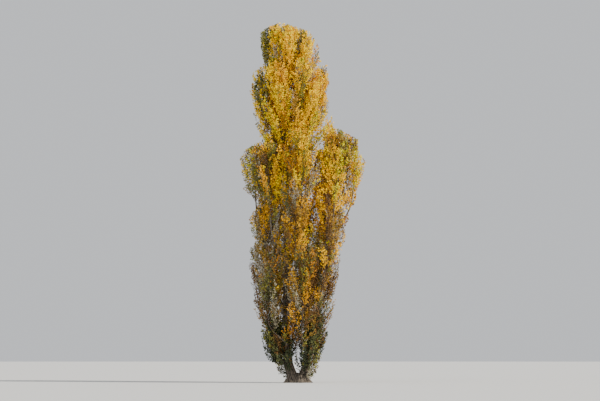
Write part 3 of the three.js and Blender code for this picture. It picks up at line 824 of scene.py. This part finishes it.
def grow_branches(mass, shape, near, limbs, rng):
    """Branches leave the mass's stem in turn round it, and reach to the edge of its space."""
    spine = mass.spine
    length = np.linalg.norm(spine.place(1) - spine.place(0)) * shape["share"]
    count = int(round(mass.ring["branches"] * length / METRE))
    shares = np.linspace(shape["first"], shape["last"], count) + varied(shape["jitter"], count, rng)
    shares = np.clip(shares, 0, 1)
    start = np.array([spine.place(share) for share in shares])
    along = np.array([spine.along(share) for share in shares])
    out = squared(np.broadcast_to(mass.out, along.shape), along)
    out = turned(out, along, np.arange(count) * GOLDEN_TURN + varied(shape["turn"], count, rng))
    wide = shape["wide"] * np.clip(1 - shares / shape["wide_to"], 0, 1)
    angle = np.radians(shape["angle"] + wide + varied(1, count, rng) * shape["spread"])
    heading = leaning(along, out, angle)
    bend = np.full(count, shape["bend"])
    reach = np.zeros(count)
    for tried in np.arange(shape["most"], shape["least"] - 1, -shape["step"]):
        tips = start + heading * (tried + shape["beyond"]) + UP * (bend * tried)[:, None]
        inside = mass.holds(tips, near) & (reach == 0)
        reach[inside] = tried
    growth = Growth(start, heading, reach, bend, out, np.arange(count)).keep(reach > 0)
    return keep_clear(growth, limbs, shape)


def grow_off(parents, shape, rng):
    """Children of many twigs, at even steps and in turn round their parent, the last at its tip."""
    count = np.maximum((parents.length / shape["spacing"]).astype(int), 1) + 1
    parent = np.repeat(np.arange(len(count)), count)
    order = np.concatenate([np.arange(n) for n in [0, *count]])
    total, each = len(order), np.repeat(count, count)
    last = order == each - 1
    share = (order + OFFSHOOT["place"] + varied(OFFSHOOT["jitter"], total, rng)) / each
    share = np.where(last, 1.0, np.clip(share, OFFSHOOT["least"], 1))
    held = parents.keep(parent)
    along = held.along(share)
    turn = order * GOLDEN_TURN + varied(OFFSHOOT["turn"], total, rng)
    out = turned(squared(held.out, along), along, turn)
    angle = np.radians(shape["angle"] + varied(1, total, rng) * shape["spread"])
    angle = np.where(last, angle * OFFSHOOT["last"], angle)
    heading = unit(leaning(along, out, angle) + UP * OFFSHOOT["lift"])
    length = mix(shape["foot_length"], shape["tip_length"], share)
    length = length * rng.uniform(*OFFSHOOT["lengths"], total)
    bend = np.full(total, shape["bend"])
    return Growth(held.place(share), heading, length, bend, squared(out, heading), held.family)


def rods(points, radii, sides=3):
    """Closed tapering rods along rows of points, each ending in one point: places and faces."""
    count, rings, _ = points.shape
    along = unit(np.gradient(points, axis=1))
    side = unit(np.cross(along, SKEW))
    back = np.cross(along, side)
    turn = np.arange(sides) / sides * 2 * math.pi
    ring = side[:, :, None] * np.cos(turn)[:, None] + back[:, :, None] * np.sin(turn)[:, None]
    skins = points[:, :-1, None] + ring[:, :-1] * radii[:, :-1, None, None]
    skins = skins.reshape(count, (rings - 1) * sides, 3)
    places = np.concatenate([skins, points[:, -1:]], axis=1)
    each = places.shape[1]
    quads, tris = [], []
    for r in range(rings - 2):
        for s in range(sides):
            n = (s + 1) % sides
            quads.append((r * sides + s, r * sides + n, (r + 1) * sides + n, (r + 1) * sides + s))
    top = (rings - 2) * sides
    for s in range(sides):
        tris.append((top + s, top + (s + 1) % sides, each - 1))
    tris.append((0, 2, 1))
    first = (np.arange(count) * each)[:, None, None]
    faces = [(np.array(tris) + first).reshape(-1, 3)]
    if quads:
        faces.append((np.array(quads) + first).reshape(-1, 4))
    return places.reshape(-1, 3), faces


def growth_rods(growth, shape):
    shares = np.linspace(0, 1, shape["rings"])
    points = np.stack([growth.place(share) for share in shares], axis=1)
    radii = np.broadcast_to(mix(shape["foot"], shape["tip"], shares), points.shape[:2])
    return rods(points, radii)


def spine_rod(spine):
    shares = np.linspace(0, 1, SPINE_ROD["points"])
    points = np.array([spine.place(share) for share in shares])
    radii = mix(spine.radius(0), SPINE_ROD["tip"], shares)
    return rods(points[None], radii[None], SPINE_ROD["sides"])


LEAF = dict(
    place=0.7, turn=0.5, angles=(38, 78), last=0.3, droop=0.45, up=0.7, roll=0.7,
    lengths=(0.75, 1.25),
)
LEAF_OUTLINE = np.array(  # across, along and out of the midrib's plane, as shares of its length
    [
        (0, 0, 0), (0.4, 0.26, 0.1), (0.27, 0.62, 0.07),
        (0, 1, -0.1), (-0.27, 0.62, 0.07), (-0.4, 0.26, 0.1),
    ]
)
LEAF_FACES = np.array([(0, 1, 2, 3), (0, 3, 4, 5)])


def grow_leaves(shoots, count, size, rng):
    """Leaves in turn round each shoot, a little hanging: the corners, tip and shoot of each."""
    total = len(shoots.length) * count
    shoot = np.repeat(np.arange(len(shoots.length)), count)
    order = np.tile(np.arange(count), len(shoots.length))
    share = (order + LEAF["place"]) / count
    held = shoots.keep(shoot)
    along = held.along(share)
    turn = order * GOLDEN_TURN + varied(LEAF["turn"], total, rng)
    out = turned(squared(held.out, along), along, turn)
    angle = np.radians(rng.uniform(*LEAF["angles"], total))
    angle = np.where(order == count - 1, angle * LEAF["last"], angle)
    droop = UP * rng.uniform(0, LEAF["droop"], total)[:, None]
    heading = unit(leaning(along, out, angle) - droop)
    face = unit(np.cross(heading, np.cross(out + UP * LEAF["up"], heading)))
    face = turned(face, heading, rng.normal(0, LEAF["roll"], total))
    length = size * rng.uniform(*LEAF["lengths"], total)
    start, side = held.place(share), np.cross(heading, face)
    corner = LEAF_OUTLINE[None] * length[:, None, None]
    places = start[:, None] + side[:, None] * corner[..., :1] + heading[:, None] * corner[..., 1:2]
    return places + face[:, None] * corner[..., 2:], start + heading * length[:, None], shoot


# Tints.

TINTS = {
    "bright_gold": 0xFFDC10,
    "gold": 0xFCC818,
    "amber": 0xE0A624,
    "ochre": 0xA88436,
    "orange": 0xCC8C2A,
    "lime": 0xD8CC18,
    "olive": 0x88843A,
    "grey_green": 0x5A5E3A,
    "dark_green": 0x343C28,
    "brown": 0x745630,
    "pale_back": 0xA09880,
}
SHADE_SIDE_LATE = 1.5  # how late the left side's greyer tints set in: painted shade on the side away from the sun, and partly the leaves' own greener tone
SHADE_SIDE_LOSS = 0.5  # the share of the golden tints that is lost at its edge, as painted shade
SUNNY = (4000, 7500)  # the heights between which the low ring gets sunny, and the shoulders yellow
HIGH = (12300, 13800)
STRAYS = 0.2


def tint_shares(ring, side, height):
    """How often tints are dealt at a place: side is -1 at the crown's left edge, 1 at its right."""
    # Toward the left edge the tints turn greyer and darker, and the golden ones fewer: painted
    # shade of the side away from the sun, with some of the leaves' own greener tone.
    left, right = max(-side, 0) ** SHADE_SIDE_LATE, max(side, 0)
    golden = 1 - SHADE_SIDE_LOSS * left
    sunny, high = ramp(height, *SUNNY), ramp(height, *HIGH)
    # Low down the tints are dark greens and browns, and in the low ring the golden ones fade out
    # below the sunny heights: partly the leaves' own colour, partly painted shade under the crown
    # and between the stems.
    if ring == "skirt":
        return dict(
            amber=0.05, ochre=0.5 * right, olive=0.8, grey_green=1.8 + left,
            dark_green=4 + 3 * left, brown=2.6 + right, pale_back=0.3,
        )
    if ring == "inner":
        return dict(
            amber=0.1, ochre=1, olive=0.8, grey_green=1.4, dark_green=1.4, brown=3.4, pale_back=0.6
        )
    if ring == "low":
        return dict(
            gold=0.5 * sunny * golden, amber=(0.2 + sunny) * golden, ochre=2.5,
            orange=0.2 + 0.2 * sunny, lime=0.1, olive=1 + left, grey_green=1.1 + 0.6 * left,
            dark_green=0.3, brown=3.2, pale_back=0.5 + 1.6 * left,
        )
    if ring in ("middle", "core"):
        return dict(
            bright_gold=0.3 * golden, gold=(1.3 - 0.6 * right) * golden,
            amber=(2.4 - 0.6 * right) * golden, ochre=2.4 + right, orange=0.4,
            lime=0.15 * golden, olive=1 + 1.2 * left, grey_green=0.6 + left,
            dark_green=0.2 * golden, brown=1.4 + 1.5 * right, pale_back=0.6 + 2.4 * left,
        )
    # From the shoulders up, bright gold is dealt more and more: partly the leaves' own colour,
    # partly painted sunlight on the lit upper crown.
    if ring in ("shoulder", "heart"):
        return dict(
            bright_gold=2.4 * golden, gold=(2.6 - 0.6 * right) * golden, amber=1.7 * golden,
            ochre=1.1 + 0.8 * right, orange=0.2 + 0.3 * right,
            lime=(0.3 + high * (1 + 1.5 * right)) * golden, olive=0.8 + 2 * left,
            grey_green=0.3 + 2 * left, dark_green=0.1, brown=0.5, pale_back=0.5 + 2 * left,
        )
    if ring == "upper":
        return dict(
            bright_gold=5 * golden, gold=3.8 * golden, amber=1.3, ochre=0.3, orange=0.1,
            lime=0.8 * golden, olive=0.4 + 2 * left, grey_green=0.1 + 2.2 * left,
            dark_green=0.5 * left, brown=0.2, pale_back=0.7 + 1.6 * left,
        )
    return dict(
        bright_gold=5.5 * golden, gold=3.2 * golden, amber=0.6, ochre=0.1, lime=1.6 * golden,
        olive=0.5 + 3 * left, grey_green=0.1 + 3 * left, dark_green=0.1 + 0.8 * left, brown=0.1,
        pale_back=0.4 + 2.4 * left,
    )


def tint_weights(ring, place):
    middle, half, _ = crown_at(place[2])
    shares = tint_shares(ring, (place[0] - middle) / half, place[2])
    weights = np.array([shares.get(name, 0) for name in TINTS], dtype=float)
    return weights / weights.sum()


def deal_tints(mass, branches, shoots, rng):
    """One tint to a branch, which most of its shoots keep."""
    own = {}
    for family, place in zip(branches.family, branches.place(1)):
        weights = tint_weights(mass.ring["name"], place)
        own[family] = (rng.choice(len(weights), p=weights), weights)
    tints = np.zeros(len(shoots.length), dtype=int)
    strays = rng.random(len(tints)) < STRAYS
    for i, family in enumerate(shoots.family):
        tint, weights = own[family]
        tints[i] = rng.choice(len(weights), p=weights) if strays[i] else tint
    return tints


# The pieces of foliage: one of twigs and one of leaves to a ring.


def grow_foliage(mass, shape, near, limbs, into, rng):
    """The twigs and leaves of a mass, or the sprays of a sleeve."""
    limbs = [limb for limb in limbs if limb is not mass.holder and limb is not mass.spine]
    branches = grow_branches(mass, shape, near, limbs, rng)
    twigs = fitted(grow_off(branches, TWIG, rng), mass, near, limbs, TWIG)
    shoots = fitted(grow_off(twigs, LEAFY, rng), mass, near, limbs, LEAFY)
    for growth, level in ((branches, shape), (twigs, TWIG), (shoots, LEAFY)):
        into["twigs"].append(growth_rods(growth, level))
    tints = deal_tints(mass, branches, shoots, rng)
    places, tips, shoot = grow_leaves(shoots, mass.ring["leaves"], mass.ring["size"], rng)
    inside = in_crown(tips)
    into["leaves"].append(places[inside])
    into["tints"].append(tints[shoot][inside])


def make_twigs(name, grown, material):
    places, faces, first = [], [[], []], 0
    for own_places, own_faces in grown:
        places.append(own_places)
        for group in own_faces:
            faces[group.shape[1] - 3].append(group + first)
        first += len(own_places)
    faces = [np.concatenate(group) for group in faces if group]
    mesh = array_mesh(name, np.concatenate(places), faces)
    finish_piece(add_mesh(name, mesh, [material], smooth=True), [])


def make_leaves(name, grown, tints, materials, nodes):
    leaves = np.concatenate(grown)
    tints = np.repeat(np.concatenate(tints), len(LEAF_FACES))
    first = np.arange(len(leaves)) * len(LEAF_OUTLINE)
    corners = (LEAF_FACES[None] + first[:, None, None]).reshape(-1, 4)
    mesh = array_mesh(f"leaves_{name}", leaves.reshape(-1, 3), [corners], tints)
    finish_piece(add_mesh(f"leaves_{name}", mesh, materials), nodes)


def make_foliage(masses, limbs, leaf_materials, twig_material):
    rng = np.random.default_rng(FOLIAGE_SEED)
    made = {ring["name"]: dict(twigs=[], leaves=[], tints=[]) for ring in RINGS}
    for mass in masses:
        into = made[mass.ring["name"]]
        into["twigs"].append(spine_rod(mass.spine))
        grow_foliage(mass, BRANCH, neighbours(mass, masses), limbs, into, rng)
    for sleeve in [Sleeve(mass) for mass in masses if mass.holder]:
        grow_foliage(sleeve, SLEEVE_BRANCH, masses, limbs, made[sleeve.ring["name"]], rng)
    for name, into in made.items():
        nodes = [f"leaves_{mass.name}" for mass in masses if mass.ring["name"] == name]
        make_twigs(f"twigs_{name}", into["twigs"], twig_material)
        make_leaves(name, into["leaves"], into["tints"], leaf_materials, nodes)


# Materials.

MIX_SOCKETS = {"FLOAT": (2, 3, 0), "RGBA": (6, 7, 2)}  # of a mix: its two sources and its result
LEAF_RELIEF = dict(distance=0.01, strength=0.5)
LEAF_SHINE = 0.12
BARK_STRENGTH = 0.9
BARK_WARP = (0.7, 0.7, 0.3)
GRAIN_SHADE = 1.0  # how much the grain counts in the bark's shade, and in its relief
GRAIN_HEIGHT = 0.5
BARKS = {
    "old_bark": dict(distance=0.03),
    "bough_bark": dict(
        distance=0.01, Across=26.0, Along=5.0, Pale_From=3.0, Pale_To=8.0,
        Plate=(0.24, 0.19, 0.14, 1), Furrow=(0.09, 0.07, 0.05, 1),
    ),
    "twig_bark": dict(
        distance=0.004, Across=60.0, Along=16.0, Pale_From=2.0, Pale_To=14.0,
        Plate=(0.16, 0.11, 0.075, 1), Furrow=(0.07, 0.05, 0.035, 1), Pale=(0.3, 0.23, 0.15, 1),
    ),
}


def feed(tree, socket, value):
    """Gives an input a value, or links another node's output to it."""
    if isinstance(value, bpy.types.NodeSocket):
        tree.links.new(value, socket)
    else:
        socket.default_value = value


def add_node(tree, kind, *values, **named):
    """Adds a node and gives its outputs. Values are for its first inputs; those named in lower
    case are settings, and the others inputs, with _ for a space."""
    node = tree.nodes.new(f"ShaderNode{kind}")
    for key, value in named.items():
        if key[0].islower():
            setattr(node, key, value)
    inputs = {key.replace("_", " "): value for key, value in named.items() if key[0].isupper()}
    for key, value in [*enumerate(values), *inputs.items()]:
        feed(tree, node.inputs[key], value)
    return node.outputs


def add_mix(tree, kind, share, first, second):
    """Adds a mix of two numbers or two colours, and gives its result."""
    node = tree.nodes.new("ShaderNodeMix")
    node.data_type = kind
    from_first, from_second, result = MIX_SOCKETS[kind]
    feed(tree, node.inputs[0], share)
    feed(tree, node.inputs[from_first], first)
    feed(tree, node.inputs[from_second], second)
    return node.outputs[result]


def shader_group(name, inputs, outputs):
    """An empty shader group, with what adds nodes to it, gives its inputs and takes its outputs."""
    group = bpy.data.node_groups.new(name, "ShaderNodeTree")
    for socket, value in inputs.items():
        kind = "NodeSocketColor" if isinstance(value, tuple) else "NodeSocketFloat"
        made = group.interface.new_socket(socket, in_out="INPUT", socket_type=kind)
        made.default_value = value
    for socket in outputs:
        kind = "NodeSocketColor" if socket == "Color" else "NodeSocketFloat"
        group.interface.new_socket(socket, in_out="OUTPUT", socket_type=kind)
    add = functools.partial(add_node, group)
    given, results = group.nodes.new("NodeGroupInput"), group.nodes.new("NodeGroupOutput")
    return group, add, given.outputs, results.inputs


def bark_group():
    """Upright plates of bark with dark furrows, paler up the tree."""
    inputs = {
        "Across": 13.0, "Along": 1.3, "Pale From": 4.0, "Pale To": 10.0,
        "Plate": (0.17, 0.135, 0.1, 1), "Furrow": (0.022, 0.017, 0.013, 1),
        "Pale": (0.5, 0.43, 0.34, 1),
    }
    outputs = ["Color", "Height", "Roughness"]
    group, add, given, results = shader_group("furrowed_bark", inputs, outputs)
    smooth = dict(interpolation_type="SMOOTHSTEP")
    seen = add("TexCoord")["Object"]
    x, y, height = add("SeparateXYZ", seen)
    level = add("CombineXYZ", x, y)[0]
    away = add("VectorMath", level, operation="LENGTH")["Value"]
    least = add("Math", away, BOLE_WRAP / 2, operation="MAXIMUM")[0]
    pull = add("Math", BOLE_WRAP, least, operation="DIVIDE")[0]
    wrapped = add("MapRange", height, BOLE_WRAP_FROM, BOLE_WRAP_TO, **smooth)[0]
    pull = add_mix(group, "FLOAT", wrapped, pull, 1.0)
    pull = add("CombineXYZ", pull, pull, 1.0)[0]
    where = add("VectorMath", seen, pull, operation="MULTIPLY")[0]
    stretch = add("CombineXYZ", given["Across"], given["Across"], given["Along"])[0]
    spread = add("VectorMath", where, stretch, operation="MULTIPLY")[0]
    warp = add("TexNoise", Vector=spread, Scale=0.6, Detail=3.0)["Color"]
    moved = add("VectorMath", warp, BARK_WARP, spread, operation="MULTIPLY_ADD")[0]
    plates = add("TexVoronoi", feature="DISTANCE_TO_EDGE", Vector=moved, Scale=1.0)["Distance"]
    grain = add("TexNoise", Vector=moved, Scale=3.2, Detail=6.0, Roughness=0.62)["Fac"]
    raised = add("MapRange", plates, From_Min=0.02, From_Max=0.2, To_Max=0.6, **smooth)[0]
    mottle = add("TexNoise", Vector=where, Scale=1.3, Detail=4.0)["Fac"]
    pale = add("MapRange", height, given["Pale From"], given["Pale To"], **smooth)[0]
    patches = add("MapRange", mottle, From_Min=0.3, From_Max=0.6, To_Min=0.45)[0]
    patchy = add("Math", pale, patches, operation="MULTIPLY", use_clamp=True)[0]
    plate = add_mix(group, "RGBA", patchy, given["Plate"], given["Pale"])
    shade = add("Math", grain, GRAIN_SHADE, raised, operation="MULTIPLY_ADD")[0]
    depth = add("MapRange", shade, From_Min=0.45, From_Max=1.15)[0]
    feed(group, results["Color"], add_mix(group, "RGBA", depth, given["Furrow"], plate))
    relief = add("Math", grain, GRAIN_HEIGHT, raised, operation="MULTIPLY_ADD")[0]
    feed(group, results["Height"], relief)
    feed(group, results["Roughness"], add("MapRange", grain, To_Min=0.75, To_Max=1.0)[0])
    return group


def leaf_group():
    """The fine unevenness of a leaf, and its gloss, duller in patches."""
    inputs = {"Dull": 0.8, "Gloss": 0.5}
    group, add, given, results = shader_group("leaf_surface", inputs, ["Height", "Roughness"])
    where = add("TexCoord")["Object"]
    patches = add("TexNoise", Vector=where, Scale=6.0, Detail=2.0)["Fac"]
    span = dict(From_Min=0.3, From_Max=0.7, To_Min=given["Gloss"], To_Max=given["Dull"])
    rough = add("MapRange", patches, **span)[0]
    feed(group, results["Height"], add("TexNoise", Vector=where, Scale=55.0, Detail=3.0)["Fac"])
    feed(group, results["Roughness"], rough)
    return group


def surface_material(name, group, distance, strength, **values):
    """A material with a group's relief and roughness: it, its tree and shader, and the outputs."""
    material, tree, shader = new_material(name)
    surface = add_node(tree, "Group", node_tree=group, **values)
    bump = add_node(tree, "Bump", Height=surface["Height"], Distance=distance, Strength=strength)
    feed(tree, shader.inputs["Roughness"], surface["Roughness"])
    feed(tree, shader.inputs["Normal"], bump["Normal"])
    return material, tree, shader, surface


def bark_material(name, group, distance, **values):
    material, tree, shader, bark = surface_material(name, group, distance, BARK_STRENGTH, **values)
    feed(tree, shader.inputs["Base Color"], bark["Color"])
    return material


def leaf_material(name, color, group):
    material, _, shader, _ = surface_material(name, group, **LEAF_RELIEF)
    shader.inputs["Base Color"].default_value = (*linear(color), 1)
    shader.inputs["Specular IOR Level"].default_value = LEAF_SHINE
    return material


def main():
    make_camera()
    make_world()
    for sun in SUNS:
        make_sun(**sun)
    make_floor()

    roll = dice(SEED)
    masses = [Mass(ring, order, roll) for ring in RINGS for order in range(ring["count"])]
    stems = [make_stem("stem_left", STEM_LEFT, masses), make_stem("stem_right", STEM_RIGHT, masses)]
    boughs = hold_masses(masses, stems)

    bark = bark_group()
    old_bark, bough_bark, twig_bark = (
        bark_material(name, bark, **look) for name, look in BARKS.items()
    )
    surface = leaf_group()
    leaves = [leaf_material(f"leaf_{name}", color, surface) for name, color in TINTS.items()]

    make_bole_and_stems(stems, old_bark)
    make_boughs(boughs, bough_bark)
    make_foliage(masses, [*stems, *boughs], leaves, twig_bark)


main()
